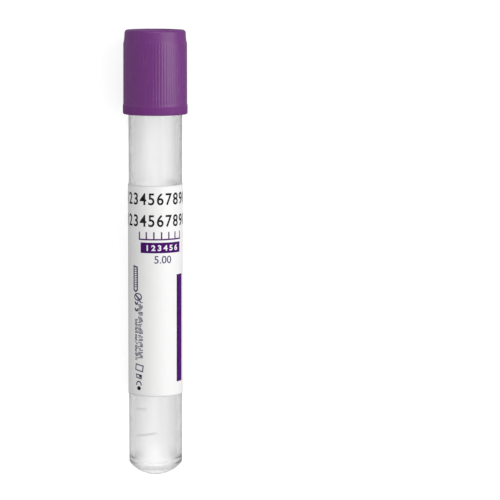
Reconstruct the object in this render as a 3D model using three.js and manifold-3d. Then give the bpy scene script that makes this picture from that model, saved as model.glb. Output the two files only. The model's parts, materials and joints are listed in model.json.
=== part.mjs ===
// Capped vacuum blood collection tube, 13 mm by 100 mm, lying on its side as it comes to rest.
// Millimetres. +X runs from the domed bottom to the cap, +Z is up, and the label's front faces +Z.
// Every piece is turned about one axis. A profile is a list of [radius, height] points, with the
// height measured along that axis from the lowest point of the dome.
import * as THREE from 'three';
import { mergeVertices } from 'three/addons/utils/BufferGeometryUtils.js';
import Module from 'manifold-3d';

const wasm = await Module();
wasm.setup();

// Facets round the axis. Their middles, not their corners, point up, down and sideways.
const sides = 32;
const facetStep = (2 * Math.PI) / sides;

// Tube
const tubeLength = 100;
const tubeRadius = 6.5;
const tubeWall = 1.0;
const bottomWall = 1.15;
const domeRadius = 8.15;
const domeCorner = 0.9;
const bowlFlatness = 1.0;
const bowlCorner = 3.5;
const lipRound = 0.35;

// Stopper
const seatGap = 0.3;
const plugClearance = 0.05;
const plugRelief = 0.3;
const plugLength = 8.6;
const plugLead = 0.4;
const sealCount = 3;
const sealHeight = 0.8;
const flangeHeight = 4.0;
const flangeBevel = 0.2;
const wellRadius = 3.2;
const wellDepth = 1.2;
const hollowRadius = 3.2;
const hollowDepth = 5.2;
const hollowRound = 0.8;

// Cap
const capHeight = 20.4;
const capOverlap = 11.1;
const skirtClearance = 0.35;
const skirtWall = 0.65;
const skirtLead = 0.1;
const skirtLeadHeight = 0.6;
const bandStand = 0.36;
const bandHeight = 1.95;
const bandStep = 0.15;
const bandRound = 0.35;
const topTaper = 0.13;
const topBandHeight = 2.3;
const topRound = 0.45;
const topPlate = 1.5;
const collarClearance = 0.3;
const collarWall = 1.0;
const needleHoleRadius = 4.2;
const needleFunnel = 0.5;
const needleFunnelDepth = 0.7;
const flangeClearance = 0.1;
const beadClearance = 0.1;
const beadHeight = 0.4;
const beadRamp = 0.4;

// Grip ribs on the cap
const ribCount = 64;
const ribStand = 0.29;
const ribTaper = 0.05;
const ribFill = 0.56;
const ribCrown = 0.5;
const ribRunout = 1.2;
const ribRoot = 0.15;

// Label
const labelBottom = 20.45;
const labelHeight = 51.5;
const labelThickness = 0.12;
const labelGap = 0.05;
const labelFacets = 29;

// Heights and radii that the pieces share
const boreRadius = tubeRadius - tubeWall;
const flangeBottom = tubeLength + seatGap;
const flangeTop = flangeBottom + flangeHeight;
const skirtRadius = tubeRadius + skirtClearance;
const coreRadius = skirtRadius + skirtWall;
const bandRadius = coreRadius + bandStand;
const capBottom = tubeLength - capOverlap;
const capTop = capBottom + capHeight;

// Points on an arc about [radius, height], angles in radians from straight out.
function arc(centre, radius, from, to, steps) {
  const points = [];
  for (let i = 0; i <= steps; i += 1) {
    const angle = from + ((to - from) * i) / steps;
    points.push([centre[0] + radius * Math.cos(angle), centre[1] + radius * Math.sin(angle)]);
  }
  return points;
}

// A dome's outline from the axis out to a wall, with the corner between them rounded.
function domeOutline(wallRadius, dome, corner, domeCentre, domeSteps, cornerSteps) {
  const cornerOut = wallRadius - corner;
  const cornerDown = Math.sqrt((dome - corner) ** 2 - cornerOut ** 2);
  const turn = Math.atan2(-cornerDown, cornerOut);
  const bowl = arc([0, domeCentre], dome, -Math.PI / 2, turn, domeSteps);
  bowl[0][0] = 0;
  const round = arc([cornerOut, domeCentre - cornerDown], corner, turn, 0, cornerSteps);
  return [...bowl, ...round.slice(1)];
}

// A solid of revolution. An outline off the axis is closed back to its first point.
function turned(outline) {
  const points = outline.map(([radius, height]) => new THREE.Vector2(radius, height));
  if (points[0].x > 0) {
    points.push(points[0].clone());
  }
  return new THREE.LatheGeometry(points, sides, facetStep / 2);
}

function solidOf(geometry) {
  const bare = geometry.clone();
  bare.deleteAttribute('normal');
  bare.deleteAttribute('uv');
  const merged = mergeVertices(bare, 1e-5);
  const mesh = new wasm.Mesh({
    numProp: 3,
    vertProperties: new Float32Array(merged.attributes.position.array),
    triVerts: new Uint32Array(merged.index.array),
  });
  return new wasm.Manifold(mesh);
}

function geometryOf(solid) {
  const mesh = solid.getMesh();
  const geometry = new THREE.BufferGeometry();
  geometry.setAttribute('position', new THREE.BufferAttribute(mesh.vertProperties, 3));
  geometry.setIndex(new THREE.BufferAttribute(mesh.triVerts, 1));
  geometry.computeVertexNormals();
  return geometry;
}

// A flat outline across the axis, drawn out along it from one height to another.
function drawnAlongAxis(shape, bottom, height) {
  const geometry = new THREE.ExtrudeGeometry(shape, { depth: height, bevelEnabled: false });
  geometry.rotateX(-Math.PI / 2);
  geometry.translate(0, bottom, 0);
  return geometry;
}

// The outside is a shallow dome with a small rounded corner, and the inside is a rounder bowl.
function tubeGeometry() {
  const outside = domeOutline(tubeRadius, domeRadius, domeCorner, domeRadius, 6, 3);
  const lip = [
    ...arc([tubeRadius - lipRound, tubeLength - lipRound], lipRound, 0, Math.PI / 2, 2),
    ...arc([boreRadius + lipRound, tubeLength - lipRound], lipRound, Math.PI / 2, Math.PI, 2),
  ];
  const bowlRadius = boreRadius + bowlFlatness;
  const inside = domeOutline(boreRadius, bowlRadius, bowlCorner, bottomWall + bowlRadius, 4, 6);
  return turned([...outside, ...lip, ...inside.reverse()]);
}

// Raised sealing rings up the plug, from its lead-in to the flange.
function sealRings(bodyRadius, ringRadius, bottom, top) {
  const pitch = (top - bottom) / sealCount;
  const ramp = ringRadius - bodyRadius;
  const points = [];
  for (let i = 0; i < sealCount; i += 1) {
    const middle = bottom + pitch * (i + 0.5);
    points.push([bodyRadius, middle - sealHeight / 2 - ramp]);
    points.push([ringRadius, middle - sealHeight / 2]);
    points.push([ringRadius, middle + sealHeight / 2]);
    points.push([bodyRadius, middle + sealHeight / 2 + ramp]);
  }
  return points;
}

function stopperGeometry() {
  const plugBottom = flangeBottom - plugLength;
  const ringRadius = boreRadius - plugClearance;
  const bodyRadius = ringRadius - plugRelief;
  const flangeRadius = skirtRadius - flangeClearance;
  const hollowTop = plugBottom + hollowDepth;
  const hollow = arc([hollowRadius - hollowRound, hollowTop - hollowRound], hollowRound, Math.PI / 2, 0, 3);
  return turned([
    [0, hollowTop],
    ...hollow,
    [hollowRadius, plugBottom],
    [bodyRadius - plugLead, plugBottom],
    [bodyRadius, plugBottom + plugLead],
    ...sealRings(bodyRadius, ringRadius, plugBottom + plugLead, flangeBottom),
    [bodyRadius, flangeBottom],
    [flangeRadius, flangeBottom],
    [flangeRadius, flangeTop - flangeBevel],
    [flangeRadius - flangeBevel, flangeTop],
    [wellRadius, flangeTop],
    [wellRadius - wellDepth / 2, flangeTop - wellDepth],
    [0, flangeTop - wellDepth],
  ]);
}

// The cap without its ribs: skirt, bands, top plate, needle hole, collar and the bead that
// holds the stopper's flange.
function capCore() {
  const topRadius = coreRadius - topTaper;
  const bandTop = capBottom + bandHeight;
  const collarBottom = flangeTop + collarClearance;
  const collarRadius = needleHoleRadius + collarWall;
  const beadRadius = tubeRadius + beadClearance;
  const beadTop = tubeLength - beadRamp / 2;
  return turned([
    [skirtRadius + skirtLead, capBottom],
    ...arc([bandRadius - bandRound, capBottom + bandRound], bandRound, -Math.PI / 2, 0, 3),
    [bandRadius, bandTop - bandStep],
    [coreRadius, bandTop],
    [coreRadius, capTop - topBandHeight],
    ...arc([topRadius - topRound, capTop - topRound], topRound, 0, Math.PI / 2, 4),
    [needleHoleRadius + needleFunnel, capTop],
    [needleHoleRadius, capTop - needleFunnelDepth],
    [needleHoleRadius, collarBottom],
    [collarRadius, collarBottom],
    [collarRadius, capTop - topPlate],
    [skirtRadius, capTop - topPlate],
    [skirtRadius, beadTop + beadRamp],
    [beadRadius, beadTop],
    [beadRadius, beadTop - beadHeight],
    [skirtRadius, beadTop - beadHeight - beadRamp],
    [skirtRadius, capBottom + skirtLeadHeight],
  ]);
}

// Angle about the axis, from the label's front towards its right edge, as a point across the axis.
function across(radius, angle) {
  return new THREE.Vector2(radius * Math.sin(angle), -radius * Math.cos(angle));
}

// A toothed ring that stands on the skirt. Each tooth has a flat crown and sloped flanks.
function ribRing(bottom, height) {
  const pitch = (2 * Math.PI) / ribCount;
  const rootHalf = (pitch * ribFill) / 2;
  const crownHalf = rootHalf * ribCrown;
  const rootRadius = coreRadius - ribRoot;
  const crownRadius = coreRadius + ribStand;
  const outline = [];
  for (let i = 0; i < ribCount; i += 1) {
    const middle = i * pitch;
    outline.push(across(rootRadius, middle - rootHalf));
    outline.push(across(crownRadius, middle - crownHalf));
    outline.push(across(crownRadius, middle + crownHalf));
    outline.push(across(rootRadius, middle + rootHalf));
  }
  const shape = new THREE.Shape(outline);
  const hole = [];
  for (let i = 0; i < sides; i += 1) {
    hole.push(across(skirtRadius + skirtWall / 3, (i + 0.5) * facetStep));
  }
  shape.holes.push(new THREE.Path(hole));
  return drawnAlongAxis(shape, bottom, height);
}

// The space that the ribs may fill: it narrows a little upwards and runs out to the skirt at the top.
function ribEnvelope(bottom, top) {
  const corner = 1 / Math.cos(facetStep / 2);
  const widest = (coreRadius + ribStand) * corner;
  return turned([
    [0, bottom],
    [widest, bottom],
    [widest - ribTaper, top - ribRunout],
    [coreRadius, top],
    [0, top],
  ]);
}

function capGeometry() {
  const ribBottom = capBottom + bandHeight - bandStep;
  const ribTop = capTop - topBandHeight;
  const ribs = solidOf(ribRing(ribBottom, ribTop - ribBottom));
  const shapedRibs = ribs.intersect(solidOf(ribEnvelope(ribBottom, ribTop)));
  return geometryOf(solidOf(capCore()).add(shapedRibs));
}

// The label follows the tube's facets, and leaves a strip of bare tube down the back.
function labelGeometry() {
  const inner = tubeRadius + labelGap;
  const outer = inner + labelThickness;
  const start = (-labelFacets / 2) * facetStep;
  const outline = [];
  for (let i = 0; i <= labelFacets; i += 1) {
    outline.push(across(outer, start + i * facetStep));
  }
  for (let i = labelFacets; i >= 0; i -= 1) {
    outline.push(across(inner, start + i * facetStep));
  }
  return drawnAlongAxis(new THREE.Shape(outline), labelBottom, labelHeight);
}

const clearPlastic = new THREE.MeshStandardMaterial({
  color: 0xe9edee,
  roughness: 0.08,
  metalness: 0,
  transparent: true,
  opacity: 0.35,
});
const purplePlastic = new THREE.MeshStandardMaterial({ color: 0x6f3f79, roughness: 0.42, metalness: 0 });
const greyRubber = new THREE.MeshStandardMaterial({ color: 0x8d8a88, roughness: 0.75, metalness: 0 });
const whitePaper = new THREE.MeshStandardMaterial({ color: 0xf4f4f2, roughness: 0.6, metalness: 0 });

function piece(name, geometry, material) {
  const mesh = new THREE.Mesh(geometry, material);
  mesh.name = name;
  return mesh;
}

const upright = new THREE.Group();
upright.add(piece('tube', tubeGeometry(), clearPlastic));
upright.add(piece('label', labelGeometry(), whitePaper));
upright.add(piece('stopper', stopperGeometry(), greyRubber));
upright.add(piece('cap', capGeometry(), purplePlastic));

// Lying down, the cap's lower band and the tube's bottom corner both touch the surface.
const domeRise = domeRadius - Math.sqrt((domeRadius - domeCorner) ** 2 - (tubeRadius - domeCorner) ** 2);
const restLength = capBottom + bandRound - domeRise;
const restTilt = Math.atan(((bandRadius - tubeRadius) * Math.cos(facetStep / 2)) / restLength);
upright.rotation.set(0, -restTilt, -Math.PI / 2);

// The origin is under the middle of the object, on the surface that it lies on.
upright.updateMatrixWorld(true);
const extent = new THREE.Box3().setFromObject(upright, true);
upright.position.set(
  -(extent.min.x + extent.max.x) / 2,
  -(extent.min.y + extent.max.y) / 2,
  -extent.min.z,
);

const group = new THREE.Group();
group.add(upright);
export default group;
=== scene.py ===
import json
import math
import random

import bmesh
import bpy
from mathutils import Matrix, Vector


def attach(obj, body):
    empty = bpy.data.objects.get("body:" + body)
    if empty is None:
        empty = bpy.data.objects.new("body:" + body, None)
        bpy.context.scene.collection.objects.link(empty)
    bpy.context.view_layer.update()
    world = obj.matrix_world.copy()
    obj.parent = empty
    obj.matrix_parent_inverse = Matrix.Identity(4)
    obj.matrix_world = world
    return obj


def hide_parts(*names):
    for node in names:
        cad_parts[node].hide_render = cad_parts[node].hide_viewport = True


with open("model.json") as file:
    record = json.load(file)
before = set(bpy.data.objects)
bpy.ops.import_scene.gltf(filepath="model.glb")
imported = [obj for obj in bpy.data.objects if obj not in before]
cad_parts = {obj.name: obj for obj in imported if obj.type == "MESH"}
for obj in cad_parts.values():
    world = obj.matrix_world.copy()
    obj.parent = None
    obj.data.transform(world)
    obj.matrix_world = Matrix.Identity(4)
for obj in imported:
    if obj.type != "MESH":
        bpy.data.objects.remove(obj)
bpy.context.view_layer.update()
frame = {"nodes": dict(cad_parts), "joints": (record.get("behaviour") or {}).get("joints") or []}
mm = 0.001

# The tube lies on its side. Its own frame stands it up, in millimetres for shapes: x to the right of the
# label, y into the label's back, z from the dome to the cap.
joints = {joint["name"]: joint for joint in frame["joints"]}
axis = Vector(joints["closure_pull"]["axis"]).normalized()
rim = Vector(joints["cap_twist"]["pos_m"])
right = Vector((0, -1, 0))
tubeCorners = [vertex.co for vertex in frame["nodes"]["tube"].data.vertices]
dome = rim + axis * min((corner - rim).dot(axis) for corner in tubeCorners)
lying = Matrix.Translation(dome) @ Matrix((right, axis.cross(right), axis)).transposed().to_4x4()
standing = lying.inverted()


# How far a CAD node runs along the axis, how far out it stands, and how far round it goes from the front.
def reach(node):
    corners = [standing @ vertex.co / mm for vertex in frame["nodes"][node].data.vertices]
    heights = [corner.z for corner in corners]
    radii = [math.hypot(corner.x, corner.y) for corner in corners]
    turns = [abs(math.atan2(corner.x, -corner.y)) for corner in corners]
    return {
        "low": min(heights),
        "high": max(heights),
        "near": min(radii),
        "far": max(radii),
        "turn": max(turns),
    }


tubeReach = reach("tube")
labelReach = reach("label")
stopperReach = reach("stopper")
capReach = reach("cap")


# Makes an outline of [radius, height] points from [radius, height, rounding] corners, with an arc in each
# corner that has a rounding.
def rounded(corners, closed=False, steps=5):
    points = []
    for index, (radius, height, rounding) in enumerate(corners):
        here = Vector((radius, height))
        before = Vector(corners[index - 1][:2]) - here
        after = Vector(corners[(index + 1) % len(corners)][:2]) - here
        atEnd = not closed and index in (0, len(corners) - 1)
        if atEnd or rounding == 0:
            points.append((radius, height))
            continue
        half = before.angle(after) / 2
        back = before.normalized()
        ahead = after.normalized()
        centre = here + (back + ahead).normalized() * rounding / math.sin(half)
        start = here + back * rounding / math.tan(half) - centre
        sweep = start.angle_signed(here + ahead * rounding / math.tan(half) - centre)
        for step in range(steps + 1):
            spoke = start.copy()
            spoke.rotate(Matrix.Rotation(-sweep * step / steps, 2))
            points.append(tuple(centre + spoke))
    return points


# A dome from the axis out to a wall, with the corner between them rounded.
def domeOutline(wallRadius, radius, corner, middle, steps, cornerSteps):
    out = wallRadius - corner
    down = math.sqrt((radius - corner) ** 2 - out ** 2)
    turn = math.atan2(-down, out)
    points = [(0, middle - radius)]
    for step in range(1, steps + 1):
        angle = -math.pi / 2 + (turn + math.pi / 2) * step / steps
        points.append((radius * math.cos(angle), middle + radius * math.sin(angle)))
    for step in range(1, cornerSteps + 1):
        angle = turn * (1 - step / cornerSteps)
        points.append((out + corner * math.cos(angle), middle - down + corner * math.sin(angle)))
    return points


def across(radius, angle, height):  # a point at this angle from the label's front
    return (radius * math.sin(angle) * mm, -radius * math.cos(angle) * mm, height * mm)


def finishPiece(name, shape, material, body, node=None):
    data = bpy.data.meshes.new(name)
    bmesh.ops.recalc_face_normals(shape, faces=shape.faces)
    shape.to_mesh(data)
    shape.free()
    data.shade_smooth()
    data.materials.append(material)
    piece = bpy.data.objects.new(name, data)
    bpy.context.scene.collection.objects.link(piece)
    piece.matrix_world = lying
    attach(piece, body)
    if node:
        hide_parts(node)
    return piece


# An outline turned about the axis. It starts and ends on the axis, or closes on itself.
def turned(outline, around, swell=None):
    shape = bmesh.new()
    rings = []
    for radius, height in outline:
        ring = []
        for i in range(around if radius > 0 else 1):
            angle = 2 * math.pi * i / around
            out = swell(radius, height, angle) if swell else radius
            ring.append(shape.verts.new(across(out, angle, height)))
        rings.append(ring)
    pairs = list(zip(rings, rings[1:]))
    if outline[0][0] > 0:
        pairs.append((rings[-1], rings[0]))
    for lower, upper in pairs:
        for i in range(around):
            j = (i + 1) % around
            corners = [
                lower[i % len(lower)],
                lower[j % len(lower)],
                upper[j % len(upper)],
                upper[i % len(upper)],
            ]
            shape.faces.new(list(dict.fromkeys(corners)))
    return shape


def srgb(red, green, blue):
    parts = [part / 255 for part in (red, green, blue)]
    linear = [part / 12.92 if part <= 0.04045 else ((part + 0.055) / 1.055) ** 2.4 for part in parts]
    return (*linear, 1)


def place(tree, kind, values=None, **settings):
    node = tree.nodes.new(kind)
    for key, value in settings.items():
        setattr(node, key, value)
    for key, value in (values or {}).items():
        node.inputs[key].default_value = value
    return node


def math2(tree, operation, first, second, clamp=False):
    node = place(tree, "ShaderNodeMath", operation=operation, use_clamp=clamp)
    for socket, value in zip(node.inputs, (first, second)):
        if isinstance(value, bpy.types.NodeSocket):
            tree.links.new(value, socket)
        else:
            socket.default_value = value
    return node.outputs[0]


def mixColour(tree, share, first, second):
    node = place(tree, "ShaderNodeMix", data_type="RGBA")
    for socket, value in zip((node.inputs[0], node.inputs[6], node.inputs[7]), (share, first, second)):
        if isinstance(value, bpy.types.NodeSocket):
            tree.links.new(value, socket)
        else:
            socket.default_value = value
    return node.outputs[2]


def newGroup(name, inputs, outputs):
    tree = bpy.data.node_groups.new(name, "ShaderNodeTree")
    for title, kind, value in inputs:
        socket = tree.interface.new_socket(title, in_out="INPUT", socket_type=kind)
        if value is not None:
            socket.default_value = value
    for title, kind in outputs:
        tree.interface.new_socket(title, in_out="OUTPUT", socket_type=kind)
    return tree, tree.nodes.new("NodeGroupInput"), tree.nodes.new("NodeGroupOutput")


# Fine grain with a slower unevenness under it, as on moulded plastic, rubber, paper and ink.
def grainGroup():
    tree, given, made = newGroup(
        "surfaceGrain",
        [
            ("Vector", "NodeSocketVector", None),
            ("Grain", "NodeSocketFloat", 4000.0),
            ("Cloud", "NodeSocketFloat", 300.0),
            ("Share", "NodeSocketFloat", 0.5),
        ],
        [("Height", "NodeSocketFloat"), ("Cloud", "NodeSocketFloat")],
    )
    fine = place(tree, "ShaderNodeTexNoise", {"Detail": 3.0, "Roughness": 0.6})
    slow = place(tree, "ShaderNodeTexNoise", {"Detail": 2.0, "Roughness": 0.5})
    for noise, size in ((fine, "Grain"), (slow, "Cloud")):
        tree.links.new(given.outputs["Vector"], noise.inputs["Vector"])
        tree.links.new(given.outputs[size], noise.inputs["Scale"])
    mixed = place(tree, "ShaderNodeMix", data_type="FLOAT")
    tree.links.new(given.outputs["Share"], mixed.inputs[0])
    tree.links.new(slow.outputs[0], mixed.inputs[2])
    tree.links.new(fine.outputs[0], mixed.inputs[3])
    tree.links.new(mixed.outputs[0], made.inputs["Height"])
    tree.links.new(slow.outputs[0], made.inputs["Cloud"])
    return tree


# Thin rubs that run one way, where a piece has been handled or slid in a rack.
def rubGroup():
    tree, given, made = newGroup(
        "handlingRubs",
        [("Vector", "NodeSocketVector", None), ("Stretch", "NodeSocketVector", (2500.0, 2500.0, 120.0))],
        [("Mask", "NodeSocketFloat")],
    )
    stretched = place(tree, "ShaderNodeVectorMath", operation="MULTIPLY")
    tree.links.new(given.outputs["Vector"], stretched.inputs[0])
    tree.links.new(given.outputs["Stretch"], stretched.inputs[1])
    noise = place(tree, "ShaderNodeTexNoise", {"Scale": 1.0, "Detail": 4.0, "Roughness": 0.55})
    tree.links.new(stretched.outputs[0], noise.inputs["Vector"])
    ramp = place(tree, "ShaderNodeMapRange", {"From Min": 0.58, "From Max": 0.74})
    tree.links.new(noise.outputs[0], ramp.inputs["Value"])
    tree.links.new(ramp.outputs[0], made.inputs["Mask"])
    return tree


grain = grainGroup()
rubs = rubGroup()


class Finish:  # one Principled material with the piece's own coordinates at hand
    def __init__(self, name, **values):
        self.material = bpy.data.materials.new(name)
        self.material.use_nodes = True
        self.tree = self.material.node_tree
        self.shader = self.tree.nodes["Principled BSDF"]
        self.output = self.tree.nodes["Material Output"]
        self.coordinates = place(self.tree, "ShaderNodeTexCoord").outputs["Object"]
        for key, value in values.items():
            self.shader.inputs[key].default_value = value

    def group(self, tree, **values):
        node = place(self.tree, "ShaderNodeGroup", node_tree=tree)
        for key, value in values.items():
            node.inputs[key].default_value = value
        self.tree.links.new(self.coordinates, node.inputs["Vector"])
        return node

    def part(self, letter):
        split = place(self.tree, "ShaderNodeSeparateXYZ")
        self.tree.links.new(self.coordinates, split.inputs[0])
        return split.outputs[letter]

    def radius(self):
        flat = place(self.tree, "ShaderNodeVectorMath", operation="MULTIPLY")
        flat.inputs[1].default_value = (1, 1, 0)
        self.tree.links.new(self.coordinates, flat.inputs[0])
        length = place(self.tree, "ShaderNodeVectorMath", operation="LENGTH")
        self.tree.links.new(flat.outputs[0], length.inputs[0])
        return length.outputs["Value"]

    def span(self, value, low, high, start=0.0, end=1.0, smooth=False):
        ends = {"From Min": low, "From Max": high, "To Min": start, "To Max": end}
        node = place(self.tree, "ShaderNodeMapRange", ends)
        if smooth:
            node.interpolation_type = "SMOOTHSTEP"
        self.tree.links.new(value, node.inputs["Value"])
        return node.outputs[0]

    def feed(self, socket, value):
        self.tree.links.new(value, self.shader.inputs[socket])

    def bump(self, height, strength, depth):
        node = place(self.tree, "ShaderNodeBump", {"Strength": strength, "Distance": depth * mm})
        self.tree.links.new(height, node.inputs["Height"])
        self.feed("Normal", node.outputs[0])

    def letLampsThrough(self, colour):  # shadow rays pass, so that what lies behind is lit
        clear = place(self.tree, "ShaderNodeBsdfTransparent", {"Color": colour})
        path = place(self.tree, "ShaderNodeLightPath")
        either = place(self.tree, "ShaderNodeMixShader")
        self.tree.links.new(path.outputs["Is Shadow Ray"], either.inputs[0])
        self.tree.links.new(self.shader.outputs[0], either.inputs[1])
        self.tree.links.new(clear.outputs[0], either.inputs[2])
        self.tree.links.new(either.outputs[0], self.output.inputs["Surface"])


tube = {
    "wall": 1.0,
    "bottomWall": 1.15,
    "domeRadius": 8.15,
    "domeCorner": 0.9,
    "bowlRadius": 6.5,
    "bowlCorner": 3.5,
    "lipRound": 0.35,
    "domeSteps": (24, 10),
    "bowlSteps": (16, 24),
    "around": 192,
    "face": (0.955, 0.955, 0.955, 1),
    # painted shade where the wall slants away
    "edge": (0.82, 0.82, 0.822, 1),
    # painted shade at the dome's corners, and the painted lighter middle of the dome
    "domeCornerShade": (0.46, 0.46, 0.46, 1),
    "paintedDomeLight": (1.0, 1.0, 1.0, 1),
    # how the painted slant shade comes in, in the dome and on the wall
    "domeSlant": 0.86,
    "wallSlant": 0.965,
    "domeShade": (3.5, 7.0),
    "shadeIn": (4.5, 5.6),
    "streak": (0.58, 0.58, 0.58, 1),
    "through": (0.93, 0.93, 0.93, 1),
    "gloss": 0.21,
    "haze": 0.25,
    # the dome's zone: polished, and painted lighter on its face
    "polishAndPaintedLight": (4.3, 7.0),
    "rubs": (900.0, 900.0, 60.0),
    "scuff": 0.02,
    "grain": {"Grain": 900.0, "Cloud": 150.0, "Share": 0.3},
    "bump": 0.03,
    "bumpDepth": 0.2,
    "frontFade": 2.0,
}
flowMarks = (
    {"left": -5.5, "right": 1.1, "at": 11.3, "slope": 0.19, "half": 0.5, "strength": 0.7},
    {"left": -5.3, "right": -1.6, "at": 17.2, "slope": 0.02, "half": 0.45, "strength": 0.55},
)
tube["radius"] = tubeReach["far"]
tube["length"] = tubeReach["high"] - tubeReach["low"]


# A faint slanted mark on the front of the wall, that fades at its sides and ends.
def flowMark(finish, mark):
    tree = finish.tree
    side = finish.part("X")
    left = mark["left"] * mm
    right = mark["right"] * mm
    third = (right - left) / 3
    rise = math2(tree, "ADD", math2(tree, "MULTIPLY", side, mark["slope"]), mark["at"] * mm)
    off = math2(tree, "ABSOLUTE", math2(tree, "SUBTRACT", finish.part("Z"), rise), 0)
    body = finish.span(off, 0, mark["half"] * mm, mark["strength"], 0, smooth=True)
    start = finish.span(side, left, left + third, smooth=True)
    end = finish.span(side, right - third, right, 1, 0, smooth=True)
    front = finish.span(finish.part("Y"), -tube["frontFade"] * mm, 0, 1, 0)
    ends = math2(tree, "MULTIPLY", start, end)
    return math2(tree, "MULTIPLY", math2(tree, "MULTIPLY", body, ends), front)


# The wall is clear and has painted shade, a tint that darkens it where it slants away. The dome's bottom
# has painted shade at its corners and a painted highlight, lighter in the middle.
def clearPlastic():
    finish = Finish("clearPlastic", **{"IOR": 1.45, "Transmission Weight": 1.0})
    tree = finish.tree
    height = finish.part("Z")
    # Above the dome the wall is hazier. In the dome's zone it is polished and its face is painted lighter.
    polishAndPaintedLight = finish.span(height, *(at * mm for at in tube["polishAndPaintedLight"]), smooth=True)
    wall = finish.span(polishAndPaintedLight, 0, 1, tube["gloss"], tube["haze"])
    marks = finish.group(rubs, Stretch=tube["rubs"])
    scuffed = math2(tree, "MULTIPLY", marks.outputs["Mask"], tube["scuff"])
    finish.feed("Roughness", math2(tree, "ADD", wall, scuffed))
    uneven = finish.group(grain, **tube["grain"])
    finish.bump(uneven.outputs["Height"], tube["bump"], tube["bumpDepth"])
    # Painted shade: a Layer Weight tint darkens the wall where it slants away, left out of rays after a
    # diffuse bounce.
    lean = place(tree, "ShaderNodeLayerWeight")
    tree.links.new(finish.span(polishAndPaintedLight, 0, 1, tube["domeSlant"], tube["wallSlant"]), lean.inputs["Blend"])
    bounced = place(tree, "ShaderNodeLightPath").outputs["Diffuse Depth"]
    slant = math2(tree, "MULTIPLY", lean.outputs["Facing"], math2(tree, "LESS_THAN", bounced, 0.5))
    # Painted shade at the dome's corners, by height and radius, with a painted highlight: a lighter
    # middle.
    aboveDome = finish.span(height, *(at * mm for at in tube["domeShade"]), smooth=True)
    paintedDomeLight = finish.span(finish.radius(), *(at * mm for at in tube["shadeIn"]), 1, 0, smooth=True)
    ring = mixColour(tree, paintedDomeLight, tube["domeCornerShade"], tube["paintedDomeLight"])
    edge = mixColour(tree, aboveDome, ring, tube["edge"])
    face = mixColour(tree, polishAndPaintedLight, tube["paintedDomeLight"], tube["face"])
    clear = mixColour(tree, slant, face, edge)
    streaks = math2(tree, "MAXIMUM", *(flowMark(finish, mark) for mark in flowMarks))
    finish.feed("Base Color", mixColour(tree, streaks, clear, tube["streak"]))
    finish.letLampsThrough(tube["through"])
    return finish.material


def makeTube():
    radius = tube["radius"]
    bore = radius - tube["wall"]
    top = tube["length"]
    domeRadius = tube["domeRadius"]
    outside = domeOutline(radius, domeRadius, tube["domeCorner"], domeRadius, *tube["domeSteps"])
    middle = tube["bottomWall"] + tube["bowlRadius"]
    inside = domeOutline(bore, tube["bowlRadius"], tube["bowlCorner"], middle, *tube["bowlSteps"])
    lip = rounded(
        [
            (radius, outside[-1][1], 0),
            (radius, top, tube["lipRound"]),
            (bore, top, tube["lipRound"]),
            (bore, inside[-1][1], 0),
        ],
        steps=6,
    )
    shape = turned(outside + lip[1:-1] + inside[::-1], tube["around"])
    finishPiece("clear_tube", shape, clearPlastic(), "tube", "tube")


makeTube()
print("tube made")


stopper = {
    "flangeHeight": 4.0,
    "flangeRound": 0.25,
    "flangeUnder": 0.15,
    "sealRadius": 5.45,
    "plugRelief": 0.3,
    "plugLead": 0.4,
    "plugRound": 0.4,
    "sealCount": 3,
    "sealHeight": 0.8,
    "sealRound": 0.12,
    "hollowRadius": 3.2,
    "hollowDepth": 5.2,
    "hollowRound": 0.8,
    "hollowLip": 0.25,
    "wellRadius": 3.2,
    "wellDepth": 1.2,
    "wellRound": 0.2,
    "wellLip": 0.15,
    "targetRadius": 1.9,
    "targetGroove": 0.12,
    "targetRound": 0.04,
    "around": 128,
    "colour": srgb(128, 125, 124),
    "darker": 0.82,
    "rough": 0.72,
    "gloss": 0.35,
    "grain": {"Grain": 5200.0, "Cloud": 700.0, "Share": 0.6},
    "bump": 0.35,
    "bumpDepth": 0.06,
}


def stopperRubber():
    values = {"Roughness": stopper["rough"], "Specular IOR Level": stopper["gloss"]}
    finish = Finish("stopperRubber", **values)
    skin = finish.group(grain, **stopper["grain"])
    dark = tuple(part * stopper["darker"] for part in stopper["colour"][:3]) + (1,)
    finish.feed("Base Color", mixColour(finish.tree, skin.outputs["Cloud"], dark, stopper["colour"]))
    finish.bump(skin.outputs["Height"], stopper["bump"], stopper["bumpDepth"])
    return finish.material


# From the hollow under the plug, up its sealing rings and over the flange to the target ring on top.
def makeStopper():
    bottom = stopperReach["low"]
    top = stopperReach["high"]
    flange = top - stopper["flangeHeight"]
    seal = stopper["sealRadius"]
    relief = stopper["plugRelief"]
    body = seal - relief
    roof = bottom + stopper["hollowDepth"]
    hollow = stopper["hollowRadius"]
    corners = [
        (0, roof, 0),
        (hollow, roof, stopper["hollowRound"]),
        (hollow, bottom, stopper["hollowLip"]),
        (body, bottom, stopper["plugRound"]),
    ]
    first = bottom + stopper["plugLead"]
    pitch = (flange - first) / stopper["sealCount"]
    half = stopper["sealHeight"] / 2
    turn = stopper["sealRound"]
    for i in range(stopper["sealCount"]):
        middle = first + pitch * (i + 0.5)
        corners.append((body, middle - half - relief, turn))
        corners.append((seal, middle - half, turn))
        corners.append((seal, middle + half, turn))
        corners.append((body, middle + half + relief, turn))
    rim = stopperReach["far"]
    well = top - stopper["wellDepth"]
    target = stopper["targetRadius"]
    groove = stopper["targetGroove"]
    corners += [
        (body, flange, turn),
        (rim, flange, stopper["flangeUnder"]),
        (rim, top, stopper["flangeRound"]),
        (stopper["wellRadius"], top, stopper["wellLip"]),
        (stopper["wellRadius"] - stopper["wellDepth"] / 2, well, stopper["wellRound"]),
        (target + groove, well, stopper["targetRound"]),
        (target, well - groove, stopper["targetRound"]),
        (target - groove, well, stopper["targetRound"]),
        (0, well, 0),
    ]
    shape = turned(rounded(corners), stopper["around"])
    finishPiece("rubber_stopper", shape, stopperRubber(), "stopper", "stopper")


makeStopper()
print("stopper made")


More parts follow.
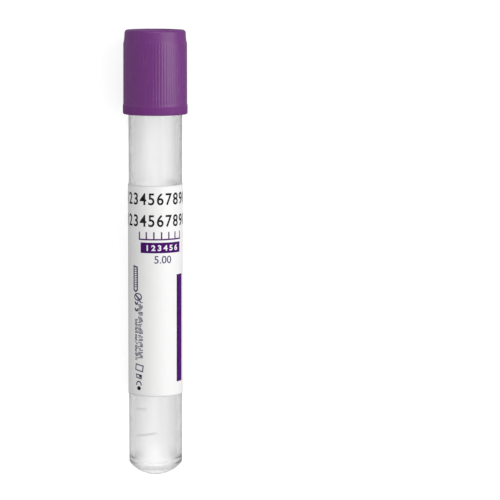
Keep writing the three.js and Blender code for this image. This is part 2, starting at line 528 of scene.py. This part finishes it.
cap = {
    "skirtRadius": 6.85,
    "skirtLead": 0.1,
    "skirtRound": 0.08,
    "skirtStart": 0.6,
    "coreRadius": 7.5,
    "bandHeight": 1.95,
    "bandRound": 0.35,
    "bandTopRound": 0.25,
    "bandLip": 0.75,
    "lipRound": 0.6,
    "topRadius": 7.37,
    "topBand": 2.3,
    "topRound": 0.75,
    "topPlate": 1.5,
    "plateRound": 0.2,
    "needleHole": 4.2,
    "funnel": 0.5,
    "funnelDepth": 0.7,
    "funnelRound": 0.15,
    "collarBottom": 104.6,
    "collarRadius": 5.2,
    "collarRound": 0.12,
    "collarTopRound": 0.1,
    "beadRadius": 6.6,
    "beadTop": 99.8,
    "beadSide": 0.4,
    "beadRound": 0.08,
    "rootRadius": 7.69,
    "crownRadius": 7.75,
    "ribTaper": 0.04,
    "ribCount": 64,
    "grooveShare": 0.5,
    "ribRunout": 1.1,
    "runoutSteps": 6,
    "perRib": 12,
    "gloss": 0.74,
    "rough": 0.36,
    "topRough": 0.45,
    "bandRough": 0.72,
    "bandFade": 0.3,
    "topFade": 1.0,
    "unevenRough": 0.06,
    "colour": srgb(109, 20, 121),
    "shade": srgb(103, 14, 115),
    "rubbed": srgb(160, 120, 168),
    "wear": 0.12,
    "grain": {"Grain": 6500.0, "Cloud": 420.0, "Share": 0.55},
    "rubs": (1500.0, 1500.0, 240.0),
    "bump": 0.12,
    "bumpDepth": 0.04,
}


# Ribs stand between the lip over the band and the plain top. They run out into the top and fade into
# the lip.
def ribSwell(radius, height, angle):
    bottom = capReach["low"] + cap["bandHeight"]
    top = capReach["high"] - cap["topBand"]
    if radius < cap["coreRadius"] or not bottom <= height <= top:
        return radius
    phase = (angle * cap["ribCount"] / (2 * math.pi) + 0.5) % 1 - 0.5
    share = min(1.0, (0.5 - abs(phase)) / cap["grooveShare"] * 2)
    crown = share * share * (3 - 2 * share)
    taper = cap["ribTaper"] * (height - bottom) / (top - bottom)
    rise = min(1.0, (top - height) / cap["ribRunout"]) * (cap["crownRadius"] - taper - cap["rootRadius"])
    return max(radius, min(radius + rise * crown, cap["crownRadius"] - taper))


# The ribs are glossier than the plain top, and the band is nearly matt.
def capPlastic():
    finish = Finish("capPlastic", **{"Specular IOR Level": cap["gloss"]})
    tree = finish.tree
    skin = finish.group(grain, **cap["grain"])
    colour = mixColour(tree, skin.outputs["Cloud"], cap["shade"], cap["colour"])
    marks = finish.group(rubs, Stretch=cap["rubs"])
    worn = math2(tree, "MULTIPLY", marks.outputs["Mask"], cap["wear"])
    finish.feed("Base Color", mixColour(tree, worn, colour, cap["rubbed"]))
    low = capReach["low"] + cap["bandHeight"]
    high = capReach["high"] - cap["topBand"]
    height = finish.part("Z")
    band = finish.span(height, low * mm, (low + cap["bandFade"]) * mm, cap["bandRough"], cap["rough"])
    top = finish.span(height, (high - cap["topFade"]) * mm, high * mm, 0, cap["topRough"] - cap["rough"])
    uneven = finish.span(skin.outputs["Cloud"], 0, 1, -cap["unevenRough"], cap["unevenRough"])
    finish.feed("Roughness", math2(tree, "ADD", uneven, math2(tree, "ADD", band, top)))
    finish.bump(skin.outputs["Height"], cap["bump"], cap["bumpDepth"])
    return finish.material


# Up the outside and down through the needle opening, then down the inside to the skirt's end.
def makeCap():
    low = capReach["low"]
    high = capReach["high"]
    core = cap["coreRadius"]
    root = cap["rootRadius"]
    ledge = low + cap["bandHeight"]
    ribTop = high - cap["topBand"]
    runout = cap["ribRunout"]
    steps = cap["runoutSteps"]
    shares = [i / steps for i in range(steps, 0, -1)]
    shoulder = [(core + (root - core) * share, ribTop - runout * share, 0) for share in shares]
    hole = cap["needleHole"]
    collar = cap["collarBottom"]
    outside = [
        (cap["skirtRadius"] + cap["skirtLead"], low, cap["skirtRound"]),
        (capReach["far"], low, cap["bandRound"]),
        (capReach["far"], ledge, cap["bandTopRound"]),
        (root, ledge + cap["bandLip"], cap["lipRound"]),
        *shoulder,
        (core, ribTop, 0),
        (cap["topRadius"], high, cap["topRound"]),
        (hole + cap["funnel"], high, cap["funnelRound"]),
        (hole, high - cap["funnelDepth"], cap["funnelRound"]),
        (hole, collar, cap["collarRound"]),
    ]
    plate = high - cap["topPlate"]
    skirt = cap["skirtRadius"]
    bead = cap["beadTop"]
    side = cap["beadSide"]
    inside = [
        (cap["collarRadius"], collar, cap["collarRound"]),
        (cap["collarRadius"], plate, cap["collarTopRound"]),
        (skirt, plate, cap["plateRound"]),
        (skirt, bead + side, 0),
        (cap["beadRadius"], bead, cap["beadRound"]),
        (cap["beadRadius"], bead - side, cap["beadRound"]),
        (skirt, bead - side * 2, 0),
        (skirt, low + cap["skirtStart"], 0),
    ]
    outline = rounded(outside + inside, closed=True, steps=4)
    shape = turned(outline, cap["ribCount"] * cap["perRib"], ribSwell)
    finishPiece("ribbed_cap", shape, capPlastic(), "cap", "cap")


makeCap()
print("cap made")


label = {
    "cornerRound": 1.2,
    "cornerSteps": 6,
    "rows": 24,
    "columns": 180,
    # width of the painted shade along the top and bottom edges
    "paintedEdgeShadeWidth": 0.35,
    "colour": (0.94, 0.94, 0.935, 1),
    "fainter": 0.97,
    # grey of the painted shade along the top and bottom edges
    "paintedEdgeShade": (0.62, 0.62, 0.63, 1),
    "rough": (0.42, 0.52),
    "grain": {"Grain": 3600.0, "Cloud": 260.0, "Share": 0.5},
    "bump": 0.15,
    "bumpDepth": 0.03,
    "through": (0.35, 0.35, 0.35, 1),
    # strength of the painted glow on the paper's inner side
    "glow": 0.42,
    "slack": 0.01,
}
label["inner"] = labelReach["near"]
label["outer"] = labelReach["far"]


# White paper with painted shade, a thin grey band along its top and bottom edges. Its inner side has a
# painted glow, an emission that stands in for light coming through the paper from behind.
def labelPaper():
    finish = Finish("labelPaper")
    tree = finish.tree
    fibre = finish.group(grain, **label["grain"])
    finish.feed("Roughness", finish.span(fibre.outputs["Cloud"], 0.3, 0.7, *label["rough"]))
    height = finish.part("Z")
    low = labelReach["low"] * mm
    high = labelReach["high"] * mm
    width = label["paintedEdgeShadeWidth"] * mm
    # Painted shade: the paper turns grey towards its top and bottom edges.
    lowEdge = finish.span(height, low, low + width, 1, 0, smooth=True)
    highEdge = finish.span(height, high - width, high, 0, 1, smooth=True)
    edges = math2(tree, "MAXIMUM", lowEdge, highEdge)
    faint = tuple(part * label["fainter"] for part in label["colour"][:3]) + (1,)
    paper = mixColour(tree, fibre.outputs["Cloud"], faint, label["colour"])
    finish.feed("Base Color", mixColour(tree, edges, paper, label["paintedEdgeShade"]))
    finish.bump(fibre.outputs["Height"], label["bump"], label["bumpDepth"])
    # Painted glow: an emission on the inner side stands in for light coming through the paper.
    middle = (label["inner"] + label["outer"]) / 2
    slack = label["slack"]
    paintedInnerGlow = finish.span(finish.radius(), (middle - slack) * mm, (middle + slack) * mm, label["glow"], 0)
    finish.feed("Emission Color", paintedInnerGlow)
    finish.shader.inputs["Emission Strength"].default_value = 1.0
    finish.letLampsThrough(label["through"])
    return finish.material


def makeLabel():
    low = labelReach["low"]
    high = labelReach["high"]
    corner = label["cornerRound"]
    columns = label["columns"]
    full = labelReach["turn"] * label["outer"]
    quarter = math.pi / 2 / label["cornerSteps"]
    steps = [corner * (1 - math.cos(quarter * i)) for i in range(label["cornerSteps"] + 1)]
    row = (high - low - 2 * corner) / label["rows"]
    heights = [low + step for step in steps]
    heights += [low + corner + row * i for i in range(1, label["rows"])]
    heights += [high - step for step in reversed(steps)]
    shape = bmesh.new()
    layers = []
    for radius in (label["outer"], label["inner"]):
        rows = []
        for height in heights:
            left = max(0.0, corner - min(height - low, high - height))
            half = (full - corner + math.sqrt(max(0.0, corner ** 2 - left ** 2))) / label["outer"]
            angles = [half * (2 * i / columns - 1) for i in range(columns + 1)]
            rows.append([shape.verts.new(across(radius, angle, height)) for angle in angles])
        layers.append(rows)
    for rows in layers:
        for lower, upper in zip(rows, rows[1:]):
            for i in range(columns):
                shape.faces.new((lower[i], lower[i + 1], upper[i + 1], upper[i]))
    rims = []
    for rows in layers:
        bottom = rows[0]
        rightSide = [row[-1] for row in rows[1:-1]]
        top = rows[-1][::-1]
        leftSide = [row[0] for row in rows[-2:0:-1]]
        rims.append(bottom + rightSide + top + leftSide)
    outer, inner = rims
    for i in range(len(outer)):
        j = (i + 1) % len(outer)
        shape.faces.new((outer[i], outer[j], inner[j], inner[i]))
    finishPiece("paper_label", shape, labelPaper(), "tube", "label")


makeLabel()
print("label made")


ink = {
    "lift": 0.006,
    "thickness": 0.012,
    "over": 0.004,
    "step": math.radians(2.5),
    "gloss": 0.06,
    "rough": 0.5,
    "black": srgb(20, 20, 24),
    "slate": srgb(78, 70, 106),
    "grey": srgb(110, 104, 128),
    "purple": srgb(72, 6, 104),
    "white": (0.9, 0.88, 0.92, 1),
    "paper": 0.85,
    "wear": 0.05,
    "solidWear": 0.02,
    "grain": {"Grain": 5200.0, "Cloud": 900.0, "Share": 0.5},
    "gaps": (0.46, 0.7),
    "bump": 0.1,
    "bumpDepth": 0.02,
}


# Ink lets a little of the paper through where its grain is coarse.
def printInk(name, colour, wear=ink["wear"]):
    values = {"Roughness": ink["rough"], "Specular IOR Level": ink["gloss"]}
    finish = Finish(name, **values)
    speckle = finish.group(grain, **ink["grain"])
    pale = tuple(part + (ink["paper"] - part) * wear for part in colour[:3]) + (1,)
    gaps = finish.span(speckle.outputs["Height"], *ink["gaps"])
    finish.feed("Base Color", mixColour(finish.tree, gaps, colour, pale))
    finish.bump(speckle.outputs["Height"], ink["bump"], ink["bumpDepth"])
    return finish.material


# Printed shapes are drawn flat, in millimetres: x runs round the label from its front, y up the tube.
def area(shape, points):
    shape.faces.new([shape.verts.new((x, y, 0)) for x, y in points])


def block(shape, left, bottom, width, height):
    right = left + width
    top = bottom + height
    area(shape, [(left, bottom), (right, bottom), (right, top), (left, top)])


# A line of even width along points. Its corners are mitred.
def line(shape, points, width, closed=False):
    count = len(points)
    sides = []
    for i, point in enumerate(points):
        here = Vector(point)
        before = here - Vector(points[i - 1]) if closed or i > 0 else None
        after = Vector(points[(i + 1) % count]) - here if closed or i < count - 1 else None
        along = ((before or after).normalized() + (after or before).normalized()).normalized()
        normal = Vector((-along.y, along.x))
        stretch = width / 2 / max(0.3, along.dot((after or before).normalized()))
        ends = (here + normal * stretch, here - normal * stretch)
        sides.append([shape.verts.new((end.x, end.y, 0)) for end in ends])
    pairs = list(zip(sides, sides[1:]))
    if closed:
        pairs.append((sides[-1], sides[0]))
    for (a, b), (c, d) in pairs:
        shape.faces.new((a, b, d, c))


def arcPoints(x, y, halfWidth, halfHeight, start, end, steps=24):
    angles = [math.radians(start + (end - start) * i / steps) for i in range(steps + 1)]
    return [(x + halfWidth * math.cos(angle), y + halfHeight * math.sin(angle)) for angle in angles]


def numbers(shape, text, x, y, size, width, bold):
    curve = bpy.data.curves.new("numbers", "FONT")
    curve.body = text
    curve.size = size
    curve.offset = bold
    curve.resolution_u = 6
    curve.align_x = "CENTER"
    holder = bpy.data.objects.new("numbers", curve)
    bpy.context.scene.collection.objects.link(holder)
    bpy.context.view_layer.update()
    data = bpy.data.meshes.new_from_object(holder.evaluated_get(bpy.context.evaluated_depsgraph_get()))
    data.transform(Matrix.Translation((x, y, 0)) @ Matrix.Diagonal((width, 1, 1, 1)))
    shape.from_mesh(data)
    bpy.data.objects.remove(holder)
    bpy.data.curves.remove(curve)
    bpy.data.meshes.remove(data)


# Gives the flat shapes their thickness, cuts them finely enough to bend, and lays them round the label.
def printed(name, shape, material, lift=ink["lift"]):
    edgeLeft = min(vertex.co.x for vertex in shape.verts)
    edgeRight = max(vertex.co.x for vertex in shape.verts)
    radius = label["outer"]
    cut = ink["step"] * radius
    for i in range(math.floor(edgeLeft / cut) + 1, math.ceil(edgeRight / cut)):
        parts = list(shape.verts) + list(shape.edges) + list(shape.faces)
        bmesh.ops.bisect_plane(shape, geom=parts, plane_co=(i * cut, 0, 0), plane_no=(1, 0, 0))
    made = bmesh.ops.extrude_face_region(shape, geom=list(shape.faces), use_keep_orig=True)
    for vertex in made["geom"]:
        if isinstance(vertex, bmesh.types.BMVert):
            vertex.co.z = ink["thickness"]
    for vertex in shape.verts:
        x, y, z = vertex.co
        vertex.co = across(radius + lift + z, x / radius, y)
    piece = finishPiece(name, shape, material, "tube")
    piece.data.shade_flat()


numberRows = {
    "text": "012345678901",
    "baselines": (67.36, 62.08),
    "size": 4.0,
    "pitch": 2.13,
    "middle": 0.1,
    "wide": 0.9,
    "bold": 0.06,
}


def printNumbers():
    shape = bmesh.new()
    first = numberRows["middle"] - (len(numberRows["text"]) - 1) / 2 * numberRows["pitch"]
    for baseline in numberRows["baselines"]:
        for i, digit in enumerate(numberRows["text"]):
            x = first + i * numberRows["pitch"]
            numbers(shape, digit, x, baseline, numberRows["size"], numberRows["wide"], numberRows["bold"])
    printed("number_rows", shape, printInk("numberInk", ink["black"]))


# A row of open boxes to write in.
comb = {
    "left": -4.3,
    "right": 7.3,
    "bottom": 58.75,
    "boxes": 6,
    "height": 2.0,
    "stroke": 0.35,
    "colour": srgb(84, 40, 108),
}


def printComb():
    shape = bmesh.new()
    stroke = comb["stroke"]
    width = comb["right"] - comb["left"]
    block(shape, comb["left"], comb["bottom"], width, stroke)
    pitch = (width - stroke) / comb["boxes"]
    for i in range(comb["boxes"] + 1):
        block(shape, comb["left"] + i * pitch, comb["bottom"] + stroke, stroke, comb["height"] - stroke)
    printed("writing_comb", shape, printInk("combInk", comb["colour"]))


colourBand = {
    "left": -3.77,
    "right": 7.05,
    "bottom": 55.62,
    "top": 58.18,
    "text": "123456",
    "baseline": 56.25,
    "size": 1.86,
    "first": -2.0,
    "pitch": 1.5,
    "wide": 1.1,
    "bold": 0.06,
}


def printBand():
    shape = bmesh.new()
    width = colourBand["right"] - colourBand["left"]
    block(shape, colourBand["left"], colourBand["bottom"], width, colourBand["top"] - colourBand["bottom"])
    printed("colour_band", shape, printInk("bandInk", ink["purple"], ink["solidWear"]))
    shape = bmesh.new()
    size = colourBand["size"]
    for i, digit in enumerate(colourBand["text"]):
        x = colourBand["first"] + i * colourBand["pitch"]
        numbers(shape, digit, x, colourBand["baseline"], size, colourBand["wide"], colourBand["bold"])
    lift = ink["lift"] + ink["thickness"] + ink["over"]
    printed("band_numbers", shape, printInk("bandNumberInk", ink["white"]), lift)


sideBar = {"left": 5.85, "right": 8.3, "bottom": 23.8, "top": 50.2}


def printBar():
    shape = bmesh.new()
    width = sideBar["right"] - sideBar["left"]
    block(shape, sideBar["left"], sideBar["bottom"], width, sideBar["top"] - sideBar["bottom"])
    printed("side_bar", shape, printInk("barInk", ink["purple"], ink["solidWear"]))


volume = {
    "text": "5.00",
    "middle": 1.85,
    "baseline": 53.15,
    "size": 2.6,
    "wide": 1.0,
    "bold": 0.03,
    "colour": srgb(98, 91, 128),
}


def printVolume():
    shape = bmesh.new()
    spot = (volume["middle"], volume["baseline"])
    numbers(shape, volume["text"], *spot, volume["size"], volume["wide"], volume["bold"])
    printed("volume_number", shape, printInk("volumeInk", volume["colour"]))


# Rings and dots are middle x and y, half width and half height. The open lines and squares are corners.
symbols = {
    "stroke": 0.3,
    "pill": {
        "left": -5.95,
        "right": -4.82,
        "top": 52.25,
        "bottom": 46.1,
        "slant": 0.25,
        "point": 0.35,
        "tip": 0.05,
    },
    "pillStroke": 0.39,
    "ticks": {"count": 9, "first": 1.15, "last": 0.75, "slant": 0.1, "stroke": 0.165},
    "ring": (-4.66, 44.8, 1.08, 0.82),
    "ringLine": ((-5.5, 45.3), (-4.0, 44.1)),
    "ringLineStroke": 0.45,
    "bracketHeights": (43.05, 41.45),
    "bracket": ((-5.6, 0.55), (-5.35, 0.0), (-4.95, -0.1), (-4.7, 0.45)),
    "bracketStroke": 0.405,
    "squares": (
        ((-5.23, 28.28), (-3.12, 27.9), (-3.32, 26.48), (-5.4, 26.92)),
        ((-5.15, 25.75), (-3.6, 25.58), (-3.68, 24.72), (-5.05, 25.0)),
    ),
    "squareStroke": 0.27,
    "fill": (-3.95, 25.35, 0.42, 0.34),
    "arch": (-4.4, 23.3, 0.68, 0.72),
    "archTurn": (-20, 200),
    "dot": (-4.36, 22.35, 0.56, 0.5),
    "roundTurn": (0, 345),
    "archSteps": 16,
    "dotSteps": 20,
}


# A long narrow pill with ticks in it, a ring, two brackets, a square, a smaller one, an arch and a dot.
def printSymbols():
    shape = bmesh.new()
    stroke = symbols["stroke"]
    pill = symbols["pill"]
    left = pill["left"]
    right = pill["right"]
    bottom = pill["bottom"]
    foot = bottom + pill["point"]
    tip = ((left + right) / 2, bottom - pill["tip"])
    corners = [(left, pill["top"]), (right, pill["top"] - pill["slant"]), (right, foot), tip, (left, foot)]
    line(shape, corners, symbols["pillStroke"], True)
    ticks = symbols["ticks"]
    run = pill["top"] - bottom - ticks["first"] - ticks["last"]
    for i in range(ticks["count"]):
        height = bottom + ticks["first"] + run * i / (ticks["count"] - 1)
        ends = [(left, height - ticks["slant"]), (right, height + ticks["slant"])]
        line(shape, ends, ticks["stroke"])
    line(shape, arcPoints(*symbols["ring"], *symbols["roundTurn"]), stroke, True)
    line(shape, symbols["ringLine"], symbols["ringLineStroke"])
    for height in symbols["bracketHeights"]:
        line(shape, [(x, height + y) for x, y in symbols["bracket"]], symbols["bracketStroke"])
    for square in symbols["squares"]:
        line(shape, square, symbols["squareStroke"], True)
    area(shape, arcPoints(*symbols["fill"], *symbols["roundTurn"], symbols["dotSteps"]))
    line(shape, arcPoints(*symbols["arch"], *symbols["archTurn"], symbols["archSteps"]), stroke)
    printed("symbols", shape, printInk("symbolInk", ink["slate"]))
    shape = bmesh.new()
    area(shape, arcPoints(*symbols["dot"], *symbols["roundTurn"], symbols["dotSteps"]))
    printed("symbol_dot", shape, printInk("dotInk", ink["black"]))


# Two columns that stand for small print, as short strokes across a line that runs down the tube.
smallPrint = {
    "seed": 11,
    "columns": (
        {"x": -5.13, "top": 39.3, "bottom": 29.5, "tall": 0.95},
        {"x": -3.87, "top": 43.9, "bottom": 29.9, "tall": 1.35},
    ),
    "strokes": (2, 5),
    "lengths": (0.6, 0.8, 1.0),
    "sides": (0.0, 1.0),
    "joined": 0.6,
    "joints": (0.0, 0.5, 0.85),
    "stroke": 0.22,
    "gap": 0.11,
    "space": 0.2,
}


def printSmall():
    shape = bmesh.new()
    dice = random.Random(smallPrint["seed"])
    stroke = smallPrint["stroke"]
    gap = smallPrint["gap"]
    for column in smallPrint["columns"]:
        tall = column["tall"]
        left = column["x"] - tall / 2
        height = column["top"]
        while height > column["bottom"]:
            for _ in range(dice.randint(*smallPrint["strokes"])):
                length = dice.choice(smallPrint["lengths"]) * tall
                start = left + dice.choice(smallPrint["sides"]) * (tall - length)
                block(shape, start, height - stroke, length, stroke)
                if dice.random() < smallPrint["joined"]:
                    joint = left + dice.choice(smallPrint["joints"]) * (tall - stroke)
                    block(shape, joint, height - stroke - gap, stroke, gap)
                height -= stroke + gap
            height -= smallPrint["space"]
    printed("small_print", shape, printInk("smallInk", ink["grey"]))


printNumbers()
printComb()
printBand()
printBar()
printVolume()
printSymbols()
printSmall()
print("print made")


room = {
    "floorDrop": 0.05,
    "floorSize": 8.0,
    "floorColour": (0.5, 0.5, 0.5, 1),
    "floorGlow": 0.7,
    "floorRough": 0.9,
    "sky": 0.58,
}


# 1 where a ray comes from the camera or through a clear piece, so that both see the white room.
def seenDirectly(tree):
    path = place(tree, "ShaderNodeLightPath")
    return math2(tree, "MAXIMUM", path.outputs["Is Camera Ray"], path.outputs["Is Transmission Ray"])


def makeFloor():
    half = room["floorSize"] / 2
    data = bpy.data.meshes.new("floor")
    corners = [(-half, -half, 0), (half, -half, 0), (half, half, 0), (-half, half, 0)]
    data.from_pydata(corners, [], [(0, 1, 2, 3)])
    floor = bpy.data.objects.new("floor", data)
    floor.location.z = -room["floorDrop"] * mm
    bpy.context.scene.collection.objects.link(floor)
    finish = Finish("paleFloor", Roughness=room["floorRough"])
    finish.shader.inputs["Base Color"].default_value = room["floorColour"]
    finish.shader.inputs["Specular IOR Level"].default_value = 0.0
    finish.shader.inputs["Emission Color"].default_value = (1, 1, 1, 1)
    glow = math2(finish.tree, "MULTIPLY", seenDirectly(finish.tree), room["floorGlow"])
    finish.feed("Emission Strength", glow)
    data.materials.append(finish.material)


def makeSky():
    world = bpy.data.worlds.new("softSky")
    world.use_nodes = True
    bpy.context.scene.world = world
    tree = world.node_tree
    background = tree.nodes["Background"]
    background.inputs["Color"].default_value = (1, 1, 1, 1)
    seen = seenDirectly(tree)
    glow = place(tree, "ShaderNodeMapRange", {"To Min": room["sky"], "To Max": 1.0})
    tree.links.new(seen, glow.inputs["Value"])
    tree.links.new(glow.outputs[0], background.inputs["Strength"])


# Each lamp hangs this many degrees round from straight above the label, and this many towards the cap.
lamps = {
    "main": {"away": 1.2, "round": 51.0, "along": 14.0, "size": 1.1, "power": 7.5},
    "top": {"away": 1.2, "round": 0.0, "along": 52.0, "size": 0.5, "power": 2.4},
}


def makeLamp(name, lamp):
    data = bpy.data.lights.new(name, "AREA")
    data.shape = "SQUARE"
    data.size = lamp["size"]
    data.energy = lamp["power"]
    light = bpy.data.objects.new(name, data)
    bpy.context.scene.collection.objects.link(light)
    turn = math.radians(lamp["round"])
    along = math.radians(lamp["along"])
    level = math.cos(along)
    spot = Vector((math.sin(along), -math.sin(turn) * level, math.cos(turn) * level))
    light.location = spot * lamp["away"]
    light.rotation_mode = "QUATERNION"
    light.rotation_quaternion = spot.to_track_quat("Z", "Y")


# The camera looks down on the tube. It stands over the label's front, a little beyond the cap.
camera = {
    "out": 600.0,
    "up": 129.5,
    "yaw": 2.206,
    "pitch": 7.018,
    "roll": 0.189,
    "lens": 178.06,
    "sensor": 36.0,
}


def makeCamera():
    data = bpy.data.cameras.new("camera")
    data.lens = camera["lens"]
    data.sensor_width = camera["sensor"]
    holder = bpy.data.objects.new("camera", data)
    bpy.context.scene.collection.objects.link(holder)
    yaw = math.radians(camera["yaw"])
    pitch = math.radians(camera["pitch"])
    roll = math.radians(camera["roll"])
    ahead = Vector((math.sin(yaw) * math.cos(pitch), math.cos(yaw) * math.cos(pitch), -math.sin(pitch)))
    side = Vector((math.cos(yaw), -math.sin(yaw), 0))
    above = side.cross(ahead)
    rolledSide = side * math.cos(roll) + above * math.sin(roll)
    rolledAbove = above * math.cos(roll) - side * math.sin(roll)
    turn = Matrix((rolledSide, rolledAbove, -ahead)).transposed().to_4x4()
    spot = Vector((0, -camera["out"], camera["up"])) * mm
    holder.matrix_world = lying @ Matrix.Translation(spot) @ turn
    bpy.context.scene.camera = holder


makeFloor()
makeSky()
for name, lamp in lamps.items():
    makeLamp(name, lamp)
makeCamera()
bpy.context.scene.view_settings.view_transform = "Standard"
print("floor, light and camera made")
